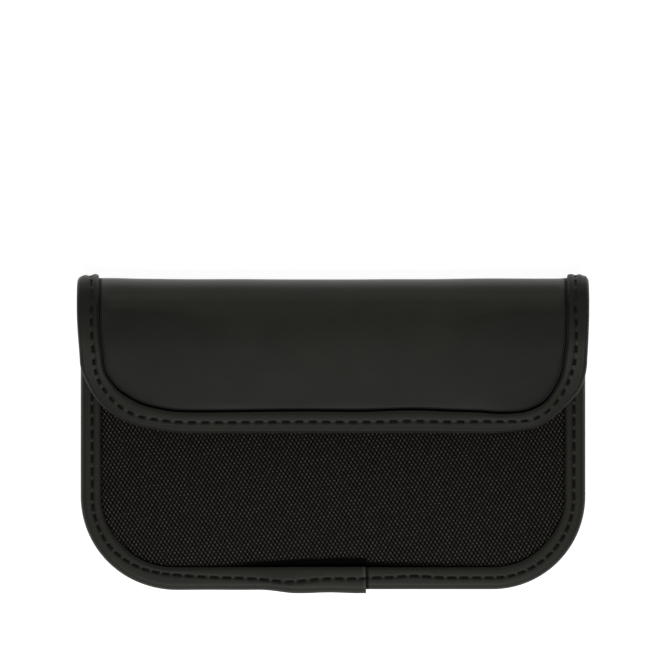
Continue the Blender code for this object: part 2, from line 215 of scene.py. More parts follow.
def pulled(x, y):
    """How far the flap is drawn aside at a place: a sum of round pushes that fade before the fold."""
    across, along = 0 * x, 0 * y
    for mid_x, mid_y, push_x, push_y, reach_x, reach_y in PULLS:
        near = bell(x, mid_x, reach_x) * bell(y, mid_y, reach_y)
        across, along = across + push_x * near, along + push_y * near
    fade = smooth((ARC_START - y) / 6)
    return across * fade, along * fade


def place(x, y, turn, depth):
    """A point of the padded sheet: flat back, elliptic fold, shaped flap. depth goes inwards."""
    x, y, turn, depth = np.broadcast_arrays(x, y, turn, depth)
    sin, cos = np.sin(turn), np.cos(turn)
    norm = np.hypot(sin / TAPE_ARC, cos / AXIS_HEIGHT)
    fold_y = ARC_START + TAPE_ARC * sin - depth * sin / TAPE_ARC / norm
    fold_z = AXIS_HEIGHT - AXIS_HEIGHT * cos + depth * cos / AXIS_HEIGHT / norm
    back, flap = turn <= 0, turn >= np.pi
    across, along = pulled(x, y)
    out_x = x + np.where(flap, across, 0)
    out_y = np.where(back | flap, y + np.where(flap, along, 0), fold_y)
    out_z = np.where(back, depth, np.where(flap, flap_height(x, y) - depth, fold_z))
    return stacked(out_x, out_y, out_z)


# --- grids and paths


def bound_grid(shape, top, rings, arc, side, across):
    """x, y and inset of a sheet with round lower corners, as rows from the bottom and columns from the left.

    The outer rings of the grid run parallel to the outline at the insets in rings. A grid corner lies at
    the middle of each round corner. Inside the last ring, points are blended from its four sides.
    """
    bottom, (a, b), widens = shape
    last = len(rings) - 1
    n, m = arc + across, arc + side
    half = half_width(bottom + b, widens)

    def ring_point(station, inset, upright):
        """Point on the ring: station runs from the corner's middle up the side, or along the bottom."""
        share = unit(station / arc)
        angle = np.pi / 4 + np.where(upright, 1, -1) * share * np.pi / 4
        past = np.maximum(station - arc, 0)
        y_side = bottom + b + (top - bottom - b) * past / side
        x = np.where(upright & (past > 0), half_width(y_side, widens), half - a + a * np.sin(angle))
        x = np.where(~upright & (past > 0), (half - a) * (1 - past / across), x)
        y = np.where(upright & (past > 0), y_side, bottom + b - b * np.cos(angle))
        y = np.where(~upright & (past > 0), bottom, y)
        nx, ny = b * np.sin(angle), -a * np.cos(angle)
        norm = np.hypot(nx, ny)
        return x - inset * nx / norm, y - inset * ny / norm

    r, q = np.meshgrid(np.arange(m + 1.0), np.arange(n + 1.0), indexing="ij")
    ring = np.minimum(np.minimum(r, q), last)
    station = np.maximum(r, q)
    near = station < last
    station = np.where(near, last * (station - ring) / np.maximum(last - ring, 1), station)
    inset = np.interp(ring, np.arange(last + 1), rings)
    x, y = ring_point(station, inset, r > q)

    u = unit((np.arange(n + 1.0) - last) / (n - last))[None, :]
    v = unit((np.arange(m + 1.0) - last) / (m - last))[:, None]
    deep = rings[-1]

    def border(count, upright):
        """The last ring along one side of the grid. Its first stations all lie at the grid's corner."""
        k = np.arange(count + 1.0)
        return ring_point(k * (k > last), np.full(count + 1, deep), np.full(count + 1, upright))

    (bx, by), (sx, sy) = border(n, False), border(m, True)
    inside = (r > last) & (q > last)
    cx, cy, low = bx[0], by[0], by[-1]
    tx = sx[-1] * (1 - u)
    fill_x = (1 - v) * bx[None, :] + v * tx + (1 - u) * sx[:, None] - (1 - u) * ((1 - v) * cx + v * sx[-1])
    mid_y = low + (top - low) * v
    fill_y = (1 - v) * by[None, :] + v * top + (1 - u) * sy[:, None] + u * mid_y
    fill_y = fill_y - ((1 - u) * (1 - v) * cy + u * (1 - v) * low + v * top)
    x, y = np.where(inside, fill_x, x), np.where(inside, fill_y, y)
    inset = np.where(inside, deep + 5, inset)
    left = [-x, y, inset]
    right = [x[:, ::-1], y[:, ::-1], inset[:, ::-1]]
    return [np.concatenate([lhs, rhs[:, 1:]], 1) for lhs, rhs in zip(left, right)]


def whole_pitch(path, pitch):
    """The nearest pitch that divides a path into whole stitches."""
    return path[0][-1] / round(path[0][-1] / pitch)


def edge_path(shape, top, step):
    """The bound edge from its left top round the bottom to its right top: length, x, y, inward x, inward y.

    The right half is the bottom's straight, a quarter ellipse and the side, and the left half mirrors it.
    """
    bottom, (a, b), widens = shape
    t = np.linspace(0, 1, 200)
    half = half_width(bottom + b, widens)
    side_y = bottom + b + (top - bottom - b) * t
    x = np.concatenate([(half - a) * t, half - a + a * np.sin(t * np.pi / 2), half_width(side_y, widens)])
    y = np.concatenate([bottom + 0 * t, bottom + b - b * np.cos(t * np.pi / 2), side_y])
    keep = np.concatenate([[True], np.hypot(np.diff(x), np.diff(y)) > 1e-9])
    x, y = x[keep], y[keep]
    x, y = np.concatenate([-x[:0:-1], x]), np.concatenate([y[:0:-1], y])
    length = np.concatenate([[0], np.cumsum(np.hypot(np.diff(x), np.diff(y)))])
    s = np.linspace(0, length[-1], round(length[-1] / step) + 1)
    x, y = np.interp(s, length, x), np.interp(s, length, y)
    dx, dy = np.gradient(x, s), np.gradient(y, s)
    dx[[0, -1]] = 0
    norm = np.hypot(dx, dy)
    return [s, x, y, -dy / norm, dx / norm]


# --- meshes


def make(name, points, faces, material, uv=None, sharp=50):
    """A shaded mesh object from points in millimetres."""
    mesh = bpy.data.meshes.new(name)
    mesh.from_pydata((points.reshape(-1, 3) * MM).tolist(), [], faces.tolist())
    if uv is not None:
        corners = np.empty(len(mesh.loops), np.int32)
        mesh.loops.foreach_get("vertex_index", corners)
        store = mesh.uv_layers.new(name="cloth")
        store.data.foreach_set("uv", (uv.reshape(-1, 2)[corners] * MM).ravel().astype(np.float32))
    mesh.shade_smooth()
    mesh.set_sharp_from_angle(angle=math.radians(sharp))
    mesh.materials.append(material)
    obj = bpy.data.objects.new(name, mesh)
    bpy.context.scene.collection.objects.link(obj)
    return obj


def slab(name, outer, inner, material, uv=None):
    """A closed sheet: the outer grid, the inner grid behind it, and a rim between their borders."""
    rows, columns = outer.shape[:2]
    k = np.arange(rows * columns).reshape(rows, columns)
    face = np.stack([k[:-1, :-1], k[:-1, 1:], k[1:, 1:], k[1:, :-1]], -1).reshape(-1, 4)
    rim = np.concatenate([k[0, :-1], k[:-1, -1], k[-1, :0:-1], k[:0:-1, 0]])
    nxt = np.roll(rim, -1)
    side = stacked(nxt, rim, rim + k.size, nxt + k.size)
    faces = np.concatenate([face, face[:, ::-1] + k.size, side])
    flat = outer.reshape(-1, 3)
    across = np.cross(flat[face[:, 1]] - flat[face[:, 0]], flat[face[:, 3]] - flat[face[:, 0]])
    if (across * (outer - inner).reshape(-1, 3)[face[:, 0]]).sum() < 0:
        faces = faces[:, ::-1]
    if uv is not None:
        uv = np.concatenate([uv.reshape(-1, 2)] * 2)
    return make(name, np.concatenate([flat, inner.reshape(-1, 3)]), faces, material, uv)


def layer(name, x, y, top, under, material):
    """A closed sheet between two heights over the same places, whose flat measure is x and y."""
    return slab(name, stacked(x, y, top), stacked(x, y, under), material, stacked(x, y))


def mark(obj, name, values):
    """Keeps a number for each point of a slab's grid, on both of its faces, for its material to read."""
    store = obj.data.attributes.new(name, "FLOAT", "POINT")
    store.data.foreach_set("value", np.tile(np.ravel(values), 2).astype(np.float32))
    return obj


def finish_piece(obj, bodies, nodes=()):
    """Puts a piece on its body, or bakes in its transform where it lies over the fold, and hides the imported
    solids it stands for.
    """
    if isinstance(bodies, str):
        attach(obj, bodies)
    else:
        start, end = bodies
        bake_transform(obj)
        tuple(start)
        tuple(end)
    if nodes:
        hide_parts(*nodes)
    return obj


# A narrow band at the fold's crest, which runs from the back towards the flap. Pieces over the fold are given
# it, but nothing here bends them.
TILT = np.array([0, -0.05, 1]) / (1 + 0.05**2)
CREST_BAND = (tuple(3.9 * MM * TILT), tuple(6.2 * MM * TILT))


# --- materials


def rgb(code):
    """An sRGB hex value as linear red, green, blue and alpha."""
    value = np.array([int(code[i : i + 2], 16) for i in (1, 3, 5)]) / 255
    linear = np.where(value <= 0.04045, value / 12.92, ((value + 0.055) / 1.055) ** 2.4)
    return (*[float(c) for c in linear], 1)


def plug(tree, node, inputs):
    """Sets a node's inputs, each to a value or to another node's output."""
    for key, value in inputs.items():
        if isinstance(value, bpy.types.NodeSocket):
            tree.links.new(value, node.inputs[key])
        else:
            node.inputs[key].default_value = value


def add(tree, kind, inputs=None, **settings):
    """One node with its settings and inputs."""
    node = tree.nodes.new(kind)
    for key, value in settings.items():
        setattr(node, key, value)
    plug(tree, node, inputs or {})
    return node


def number(tree, kind, *values):
    """What one maths node makes of values or other nodes' outputs."""
    return add(tree, "ShaderNodeMath", dict(enumerate(values)), operation=kind).outputs["Value"]


def ramp(tree, value, start, end, low=0, high=1):
    """low where the value is at start, high where it is at end, and never past them."""
    inputs = {"Value": value, "From Min": start, "From Max": end, "To Min": low, "To Max": high}
    return add(tree, "ShaderNodeMapRange", inputs, clamp=True).outputs["Result"]


def noise(tree, at, scale, detail):
    """Soft random values from 0 to 1."""
    return add(tree, "ShaderNodeTexNoise", {"Vector": at, "Scale": scale, "Detail": detail}).outputs["Fac"]


def mixed(tree, share, *colours):
    """The first colour with a share of the second. Each is a hex value or another node's output."""
    first, second = (rgb(c) if isinstance(c, str) else c for c in colours)
    inputs = {"Factor": share, "A": first, "B": second}
    return add(tree, "ShaderNodeMix", inputs, data_type="RGBA").outputs["Result"]


def bump(tree, height, strength, depth, over=None):
    """Normal of fine relief, its depth in millimetres, on top of another relief's normal."""
    inputs = {"Height": height, "Strength": strength, "Distance": depth * MM}
    if over is not None:
        inputs["Normal"] = over
    return add(tree, "ShaderNodeBump", inputs).outputs["Normal"]


def stretched(tree, **inputs):
    """The piece's own flat measure, scaled or turned."""
    along = add(tree, "ShaderNodeUVMap", uv_map="cloth").outputs["UV"]
    return add(tree, "ShaderNodeMapping", {"Vector": along} | inputs).outputs["Vector"]


def parts(tree, output):
    """The x, y and z of the texture coordinate of that name."""
    at = add(tree, "ShaderNodeTexCoord").outputs[output]
    return add(tree, "ShaderNodeSeparateXYZ", {"Vector": at}).outputs


def finish(name):
    """An empty material and its shader."""
    material = bpy.data.materials.new(name)
    material.use_nodes = True
    tree = material.node_tree
    return material, tree, tree.nodes["Principled BSDF"]


def leatherette(name, dark, light, roughness, gathers=0):
    """Polyurethane-coated leatherette: even, matt and soft to the touch, with a very fine pebble.

    The point attribute it reads is above 0 where the tape's coating is rubbed pale or a highlight is painted,
    and below
    0 where shade is painted, in creases, stitch grooves and over parts made darker, which are rougher too.
    gathers is the depth in mm of fine wrinkles across a tape that is pulled round a bend.
    """
    material, tree, shader = finish(name)
    at = add(tree, "ShaderNodeTexCoord").outputs["Object"]
    wear_and_painted_light = add(tree, "ShaderNodeAttribute", attribute_name="wear_and_painted_light").outputs["Fac"]
    # Painted shade: darker and rougher where the attribute is below 0.
    shaded = ramp(tree, wear_and_painted_light, 0, -1)
    tone = mixed(tree, noise(tree, at, 80, 3), dark, light)
    # Paler where the attribute is above 0: the tape's rubbed coating, and painted highlights.
    tone = mixed(tree, ramp(tree, wear_and_painted_light, 0, 1), tone, "#6e6c62")
    normal = bump(tree, noise(tree, at, 3200, 2), 0.35, 0.06)
    normal = bump(tree, noise(tree, at, 420, 2), 0.25, 0.08, normal)
    if gathers:
        drawn = stretched(tree, Scale=(1900, 170, 1))
        normal = bump(tree, noise(tree, drawn, 1, 2), 0.5, gathers, normal)
    look = {"Base Color": mixed(tree, shaded, tone, "#020202"), "Normal": normal, "IOR": 1.35}
    look["Roughness"] = number(tree, "MULTIPLY_ADD", shaded, 0.98 - roughness, roughness)
    plug(tree, shader, look | {"Sheen Weight": 0.08, "Sheen Roughness": 0.45})
    return material


def woven(name, warp, weft, gap, pitch_across, pitch_along, turn, lean, roughness, height):
    """Plain weave of filament yarns, from the piece's own flat measure, in millimetres.

    Rows of bright floats with dark holes between, each row half a step on. lean is a float's rise along its
    length. The attribute named gap is painted shade: it takes the colour to near black where the cloth dives
    behind the tape.
    """
    material, tree, shader = finish(name)
    at = add(tree, "ShaderNodeUVMap", uv_map="cloth").outputs["UV"]
    split = add(tree, "ShaderNodeSeparateXYZ", {"Vector": stretched(tree, Rotation=(0, 0, turn))}).outputs

    def maths(kind, *values):
        return number(tree, kind, *values)

    def falls(value, start, end):
        return ramp(tree, value, start, end, 1, 0)

    wobble = maths("MULTIPLY", maths("SUBTRACT", noise(tree, at, 700, 1), 0.5), 0.3)
    v = maths("ADD", maths("MULTIPLY", split["Y"], 1 / (pitch_along * MM)), wobble)
    row = maths("FLOOR", v)
    u = maths("ADD", maths("MULTIPLY", split["X"], 0.5 / (pitch_across * MM)), maths("MULTIPLY", row, 0.5))
    fu = maths("SUBTRACT", maths("FRACT", u), 0.5)
    fv = maths("SUBTRACT", maths("SUBTRACT", maths("FRACT", v), 0.5), maths("MULTIPLY", fu, lean))
    far_u, far_v = maths("ABSOLUTE", fu), maths("ABSOLUTE", fv)
    dash = maths("MULTIPLY", falls(far_u, 0.24, 0.44), falls(far_v, 0, 0.26))
    hole = maths("MULTIPLY", falls(far_u, 0.3, 0.1), falls(far_v, 0.16, 0.44))
    over = maths("ADD", maths("MULTIPLY", dash, 0.6), maths("SUBTRACT", 0.4, maths("MULTIPLY", hole, 0.4)))
    cell = add(tree, "ShaderNodeCombineXYZ", {"X": maths("FLOOR", u), "Y": row}).outputs["Vector"]
    speck = add(tree, "ShaderNodeTexWhiteNoise", {"Vector": cell}).outputs["Value"]
    shade = maths("MULTIPLY", dash, maths("ADD", 0.5, maths("MULTIPLY", speck, 0.7)))
    # Painted shade from the attribute named gap, where the cloth dives behind the tape.
    painted_shade = add(tree, "ShaderNodeAttribute", attribute_name="gap").outputs["Fac"]
    tone = mixed(tree, painted_shade, mixed(tree, hole, mixed(tree, shade, warp, weft), gap), "#0a0a09")
    look = {"Base Color": tone, "Normal": bump(tree, over, 0.7, height)}
    plug(tree, shader, look | {"Roughness": roughness, "Specular IOR Level": 0})
    return material


def thread_finish(name, dark, light):
    """Twisted polyester thread, and the nylon of hooks and loops: a low sheen broken by a fine twist."""
    material, tree, shader = finish(name)
    twist = noise(tree, add(tree, "ShaderNodeTexCoord").outputs["Object"], 1600, 1)
    look = {"Base Color": mixed(tree, twist, dark, light), "Normal": bump(tree, twist, 0.5, 0.1)}
    plug(tree, shader, look | {"Roughness": 0.6, "Specular IOR Level": 0.2})
    return material


def foam_finish(name, dark, light):
    """Open-cell foam: fine pores and no shine."""
    material, tree, shader = finish(name)
    at = add(tree, "ShaderNodeTexCoord").outputs["Object"]
    cells = add(tree, "ShaderNodeTexVoronoi", {"Vector": at, "Scale": 1500}).outputs["Distance"]
    look = {"Base Color": mixed(tree, cells, dark, light), "Normal": bump(tree, cells, 0.6, 0.2)}
    plug(tree, shader, look | {"Roughness": 0.95})
    return material


SKIN = leatherette("soft_touch_pu_leatherette", "#15150f", "#262620", 0.46)
TAPE_FINISH = leatherette("pu_binding_tape_folded", "#1c1b15", "#23221a", 0.52, 0.09)
WEAVE_COLOURS, SHIELD_COLOURS = ("#262421", "#64625c", "#000000"), ("#4c4e52", "#5c5e62", "#3c3d40")
PANEL = woven("polyester_plain_weave", *WEAVE_COLOURS, 0.584, 0.897, math.radians(-6.7), 0.3, 0.7, 0.12)
LINING = woven("shield_taffeta_coated", *SHIELD_COLOURS, 0.34, 0.34, 0, 0, 0.5, 0.06)
THREAD_FINISH = thread_finish("polyester_thread_twisted", "#000000", "#080808")
FOAM_FINISH = foam_finish("polyether_foam_cut", "#101010", "#3c3c3c")
HOOK_FINISH = thread_finish("nylon_hook_tape_moulded", "#070707", "#121212")
LOOP_FINISH = thread_finish("nylon_loop_tape_brushed", "#050505", "#191919")


# --- the padded sheet


def rings_for(cover):
    """Insets of the grid's outer rings, close together at the crease beside the tape."""
    past = np.array([-0.2, -0.05, 0.07, 0.2, 0.4, 0.56, 0.68, 0.79, 0.9, 1.05, 1.25, 1.65, 2.6, 4, 6])
    return np.concatenate([[SHEET_INSET, 2.6, 4.2], cover + past])


def crease(inset, cover):
    """How deep the leatherette lies: under the tape, deepest just past its edge, then up to its padding."""
    past = inset - cover
    up = climb(past, 0.54, 0.46)
    down = UNDER_TAPE + CREASE * climb(past, -0.08, 0.3)
    return down * (1 - up) + 0.14 * up * fading(past, 0.9, 0.6)


ARC_ROWS, SIDE_ROWS, ACROSS = 26, 26, 28


def fold_shares(count):
    """Shares of the turn over the fold, four times as close at the crest as at its ends."""
    t = np.linspace(-1, 1, count)
    return 0.5 + 0.5 * (0.3 * t + 0.7 * t**3)


def folded_grid():
    """x, y, turn, inset and cover of the padded sheet, up the back, round the fold and down the flap."""
    back = bound_grid(BODY_SHAPE, ARC_START, rings_for(BODY_COVER), ARC_ROWS, SIDE_ROWS, ACROSS)
    flap = bound_grid(FLAP_SHAPE, ARC_START, rings_for(FLAP_COVER), ARC_ROWS, 16, ACROSS)
    share = fold_shares(82)[1:-1, None]
    mix = smooth(share)
    fold_x, fold_inset = (between(back[i][-1], flap[i][-1], mix) for i in (0, 2))
    fold_cover = BODY_COVER + (FLAP_COVER - BODY_COVER) * mix + 0 * fold_x
    x = np.concatenate([back[0], fold_x, flap[0][::-1]])
    y = np.concatenate([back[1], 0 * fold_x + ARC_START, flap[1][::-1]])
    turn = np.concatenate([0 * back[0], np.pi * share + 0 * fold_x, 0 * flap[0] + np.pi])
    inset = np.concatenate([back[2], fold_inset, flap[2][::-1]])
    cover = np.concatenate([0 * back[0] + BODY_COVER, fold_cover, 0 * flap[0] + FLAP_COVER])
    return x, y, turn, inset, cover


def widen(y):
    """How much wider the flap's tape is beside the fold than along its free edge."""
    return 0.3 * climb(y, 16, 20)


def fold_sink(x, y, turn):
    """How far the leatherette sinks below the tape: from the flap's middle to the crest, then back to 0."""
    rest = unit((y - 24) / (ARC_START - 24)) ** 2 * (turn >= np.pi)
    u = np.clip(np.pi - turn, 0, np.pi)
    fold = (1 + 1.17 * u * np.exp(-0.756 * u)) * smooth(turn / 1.9)
    high = 0.07 + 0.16 * bell(x, 42, 12) + 0.14 * bell(x, -63, 5)
    crest = (0.25 * unit(1 - (x / 66) ** 2) - high) * np.sin(np.clip(turn, 0, np.pi)) ** 2
    return 0.75 * np.where(turn >= np.pi, rest, fold * (turn > 0)) + crest


def skin_painted_light(x, y, turn, past):
    """Painted shade in the crease and on the shoulder past it, a painted highlight where the fold begins, and
    on the flap painted light in its middle, a painted highlight spot and painted shade at its sides.
    """
    flap, below = turn >= np.pi, np.maximum(ARC_START - y, 0)
    # Painted shade in the crease beside the tape, less of it over the fold.
    shadow = 1 - 0.55 * smooth((np.pi - turn) / 0.6) * (turn > 0)
    wear_and_painted_light = -shadow * climb(past, -0.6, 0.3) * (1 - climb(past, 0.64, 0.42))
    # Painted highlight: a paler band where the fold begins on the flap.
    painted_fold_highlight = bell(turn, 2.9, 0.3) * bell(below * flap, 0, 4)
    wear_and_painted_light = wear_and_painted_light + 0.14 * (past > 0.9) * (turn > 0) * painted_fold_highlight
    # Painted shade on the shoulder past the crease, less of it towards the fold.
    shoulder = 0.35 * (1 - 0.7 * climb(y, 14, 8))
    wear_and_painted_light = wear_and_painted_light - shoulder * climb(past, 0.4, 0.4) * fading(past, 0.9, 0.6)
    # Painted light in the flap's middle, painted shade at its sides, and a painted highlight spot.
    painted_flap_light_and_shade = 0.022 * unit(1 - (x / 45) ** 2) - 0.24 * smooth((np.abs(x) - 32) / 30)
    painted_flap_light_and_shade = painted_flap_light_and_shade + 0.026 * bell(x, 26, 20) * bell(y, 29, 6)
    return wear_and_painted_light + (past > 0.9) * flap * smooth((ARC_START - y) / 8) * painted_flap_light_and_shade


def skin():
    """Leatherette of the back and the flap in one: it sinks beside the tape and along its fold."""
    x, y, turn, inset, cover = folded_grid()
    past, sink = inset - cover, fold_sink(x, y, turn)
    out = climb(past, 0.3, 2.5)
    over = climb(turn, 1, 0.6) * (1 - smooth((ARC_START - y) / 9) * (turn >= np.pi))
    depth = crease(inset, cover) * (1 - 0.35 * over) + out * sink
    level = UNDER_TAPE + 0.23 * climb(past, -0.08, 0.3) + (sink - 0.85) * climb(past, 0.6, 1.6)
    depth = depth + (level - depth) * np.sin(np.clip(turn, 0, np.pi)) ** 4
    depth = depth + np.where(turn <= 0, 0.1 * out * (0.5 + 0.5 * waves(x, y, 5, 38)), 0)
    depth = depth + 0.05 * out * waves(x, y + 7 * turn, 8, 24) * climb(turn, 0.3, 0.6)
    shift = widen(y) * smooth(turn / np.pi) * unit(inset / cover) * unit(np.abs(x) / 60)
    x = x - np.sign(x) * shift
    outer = place(x, y, turn, depth)
    inner = place(x, y, turn, np.minimum(depth + LEATHER, LINING_DEPTH - 0.05))
    piece = slab("leatherette_sheet", outer, inner, SKIN, np.stack([x, outer[..., 1]], -1))
    # The leatherette's painted shade and painted highlights, for its material.
    mark(piece, "wear_and_painted_light", skin_painted_light(x, y, turn, past))
    return finish_piece(piece, CREST_BAND, ("rear_panel", "flap_panel"))


def part_grid(shape, top, cover, side):
    """The coarser grid of a cloth that lies out of sight."""
    return bound_grid(shape, top, rings_for(cover)[::2], 16, side, 22)


def lining():
    """Shielding cloth inside the back, over the fold and inside the flap, in three lengths that meet."""
    back = part_grid(BODY_SHAPE, ARC_START, BODY_COVER, 22)
    flap = part_grid(FLAP_SHAPE, ARC_START, FLAP_COVER, 14)
    made = []

    def length(name, x, y, turn, puff, along, bodies, nodes):
        """One length of it: puff is its slow swelling, and along its flat measure beside x."""
        outer, inner = (place(x, y, turn, LINING_DEPTH + thick + puff) for thick in (SHIELD, 0))
        piece = slab(name, outer, inner, LINING, stacked(x, along))
        made.append(finish_piece(piece, bodies, nodes))

    for name, body, node, (x, y, inset), turn in (
        ("back_lining", "pouch", "rear_shield_lining", back, 0),
        ("flap_lining_cloth", "flap", "flap_lining", flap, np.pi),
    ):
        puff = 0.16 * waves(x, y, 11, 17) * smooth((inset - BODY_COVER) / 5)
        length(name, x, y, turn, puff, y, body, (node,))
    share = fold_shares(61)[:, None]
    x = between(back[0][-1], flap[0][-1], smooth(share))
    ends = between(*(waves(part[0][-1], ARC_START, 11, 17) for part in (back, flap)), smooth(share))
    puff = 0.16 * ends * smooth((back[2][-1] - BODY_COVER) / 5)
    length("fold_lining", x, ARC_START, np.pi * share, puff, ARC_START + 18 * share + 0 * x, CREST_BAND, ())
    return made


def foam():
    """Padding behind the leatherette: flat pads with eased edges."""
    for name, body, node, shape, turn, top in (
        ("back_pad", "pouch", "rear_foam", BODY_SHAPE, 0, 36.3),
        ("flap_pad", "flap", "flap_foam", FLAP_SHAPE, np.pi, 31),
    ):
        x, y, inset = bound_grid(shape, top, PAD_INSET + np.array([0, 0.2, 0.5, 1, 1.7]), 14, 14, 16)
        thin = 0.25 * (1 - smooth((inset - PAD_INSET) / 1.5) * smooth((top - y) / 7))
        outer, inner = place(x, y, turn, PAD_DEPTH + thin), place(x, y, turn, PAD_DEPTH + FOAM - thin)
        piece = finish_piece(slab(name, outer, inner, FOAM_FINISH), body, (node,))


# --- the front


def gape(x, y):
    """How far the woven panel stands off the tape at the bottom: most beside the lap, little right of it."""
    left = unit(1 - np.abs((x - 4) / 37) ** 1.5) * smooth((LAP_END + 0.6 - x) / 1.2)
    right = 0.42 * unit(1 - (x - LAP_END) / 40) * smooth((x - LAP_END + 0.6) / 1.2)
    return (left + right) * (y < BODY_BOTTOM + 14)


def panel_height(x, y, inset):
    """Woven panel: pressed down beside the tape, then up at once; at the bottom over a wider, deeper gap."""
    base = front_height(x, y) + 0.12 * waves(x, y, 21, 30) * smooth((inset - BODY_COVER - 1) / 6)
    gap = gape(x, y)
    past = inset - BODY_COVER
    along = unit((past - 0.05) / (0.75 + 2.1 * gap))
    drop = (0.6 + 1.9 * gap) * (1 - np.sqrt(1 - (1 - along) ** 2)) ** (1 - 0.25 * gap)
    shoulder = (0.3 + 0.7 * gap) * fading(past, 2.5, 5) * climb(past, -0.5, 2)
    return base + shoulder - drop * climb(past, -0.6, 0.5)


def front_layers():
    """The woven panel, its lining and the divider, on grids whose outer rings follow the bound edge."""
    past = np.concatenate([[-0.5, -0.1, 0.2], np.linspace(0.45, 2.85, 13), [3.1, 3.5, 4.4, 6]])
    rings = np.concatenate([[SHEET_INSET, 3.2], BODY_COVER + past])
    x, y, inset = bound_grid(BODY_SHAPE, FRONT_END, rings, 26, 34, 40)
    inset = inset - more_cover(y)
    z, gap = panel_height(x, y, inset), gape(x, y)
    # Painted shade for the woven panel's colour where it dives behind the tape at the bottom.
    painted_gap_shade = 1 - smooth((inset - BODY_COVER - 0.5 - 2 * gap) / 0.8)
    painted_gap_shade = painted_gap_shade * unit(0.35 + 1.5 * gap) * (y < BODY_BOTTOM + 14)
    panel = mark(layer("woven_front", x, y, z, z - WEAVE, PANEL), "gap", painted_gap_shade)
    made = [finish_piece(panel, "pouch", ("front_panel",))]
    for name, node, top, level, rise in (
        ("front_lining", "front_shield_lining", FRONT_END, FRONT_LINING_EDGE, FRONT_RISE),
        ("pocket_divider_cloth", "pocket_divider", DIVIDER_END, DIVIDER_EDGE, DIVIDER_RISE),
    ):
        x, y, inset = part_grid(BODY_SHAPE, top, BODY_COVER, 22)
        z = level + rise * swelling(x, y)
        z = z + 0.08 * waves(x, y, 31, 22) * smooth((inset - BODY_COVER) / 6)
        z = z - 0.75 * gape(x, y) * (1 - smooth((inset - BODY_COVER - 3) / 3))
        made.append(finish_piece(layer(name, x, y, z + SHIELD, z, LINING), "pouch", (node,)))
    return made


# --- tape and stitches


def tape_face(inward, cover, round_in, half_stack, dimple, seam):
    """Depth of one face of the folded tape: rounded at the edge, a groove along the stitches, two pillows."""
    rounded = half_stack * (1 - np.sqrt(unit(1 - unit(1 - inward / round_in) ** 2)))
    groove = dimple * bell(inward, seam, 0.3)
    slope = 0.22 * unit(1 - inward / seam) ** 2
    pillow = 0.09 * np.sin(np.pi * unit((inward - seam) / (cover - seam)))
    eased = 0.34 * unit((inward - cover + 0.8) / 0.8) ** 2
    return rounded + slope * (inward > 0.8) * climb(inward, 0.8, 0.6) + groove - pillow + eased


def tape_profile(cover, round_in, stack, dimple, seam):
    """(inward, through) round the folded tape, from its outer face's inner edge to its other face's."""
    cover, stack, dimple, seam = (np.asarray(v, float)[..., None] for v in (cover, stack, dimple, seam))
    flat = np.linspace(1, 0, 23)[:-1] ** 0.9
    bend = np.linspace(0, np.pi / 2, 9)
    edge = round_in * (1 - np.sin(bend)) + 0 * cover
    inward = np.concatenate([round_in + (cover - round_in) * flat, edge], -1)
    face = tape_face(inward, cover, round_in, stack / 2, dimple, seam)
    through = np.concatenate([face, (stack - face)[..., -2::-1]], -1)
    return np.concatenate([inward, inward[..., -2::-1]], -1), through


def tape_inside(inward, through):
    """The same profile, one thickness of tape further in."""
    d_in, d_through = np.gradient(inward, axis=-1), np.gradient(through, axis=-1)
    norm = np.hypot(d_in, d_through)
    return inward + TAPE * d_through / norm, through - TAPE * d_in / norm


def under_stitch(s, pitch, reach):
    """1 under each stitch, 0 between them. reach is half a stitch as a share of the pitch."""
    turn = 2 * np.pi * (s / pitch - 0.5)
    return smooth(0.5 + 1.6 * (np.cos(turn) - math.cos(2 * np.pi * (reach + 0.03))))


def dimples(s, pitch, reach):
    """Depth of the groove along the tape: deep under each stitch, shallow where the tape puffs up between."""
    shallow, deep = 0.06, 0.62
    return shallow + (deep - shallow) * under_stitch(s, pitch, reach)


def body_seam(x, y):
    """How far in the body's stitches run: they wander by up to a millimetre along the bottom edge."""
    off = bell(x, -50, 12) + 0.5 * bell(x, 23, 5.5) - 0.75 * bell(x, -14, 8)
    return BODY_SEAM + off * smooth((-30 - y) / 8)


def flap_seam(x, y):
    """How far in the flap's stitches run: further beside the fold, in the right corner and left of that."""
    beside = 0.45 * climb(y, 12, 6) * (x < 0) + 0.2 * climb(y, 30, 6) * (x > 0)
    corner = 0.65 * bell(y, 14.5, 5.5) * (x > 0)
    low = 0.45 * bell(x, 46, 8) * smooth((4 - y) / 3)
    low = low - 0.35 * bell(x, -57, 7) * smooth((9 - y) / 4)
    return FLAP_SEAM + 0.75 * climb(y, 16, 20) + beside + corner + low


def on_edge(path, inward, through, turn):
    """Points at (inward, through) from each station of an edge."""
    _, x, y, nx, ny = (v[:, None] for v in path)
    return place(x + nx * inward, y + ny * inward, turn, through)


def body_stack(y):
    """Thickness of what the body's tape holds: less above the pocket's mouth."""
    return BODY_STACK + (FLAP_STACK - BODY_STACK) * smooth((y - MOUTH) / (ARC_START - MOUTH))


BODY_PATH = edge_path(BODY_SHAPE, ARC_START, 0.32)
FLAP_PATH = edge_path(FLAP_SHAPE, ARC_START, 0.32)
BODY_PITCH, FLAP_PITCH = whole_pitch(BODY_PATH, 3.55), whole_pitch(FLAP_PATH, 3.8)


def lap(x, y):
    """How far the left tape stands out over the right one, from 0 to 1, before its cut end."""
    rise = 0.18 * climb(x, -55, 12) + 0.82 * climb(x, -21, 10)
    return rise * (y < BODY_BOTTOM + 8) * (x < LAP_END + 0.01)


def lap_shift(x, y, inward):
    """How far the lapped tape hangs below the body's edge at a distance in from it."""
    uneven = 1 + 0.11 * np.cos(2 * np.pi * (x + 9.4) / 17)
    return LAP_DROP * lap(x, y) * uneven * unit(1 - inward / 4.5)


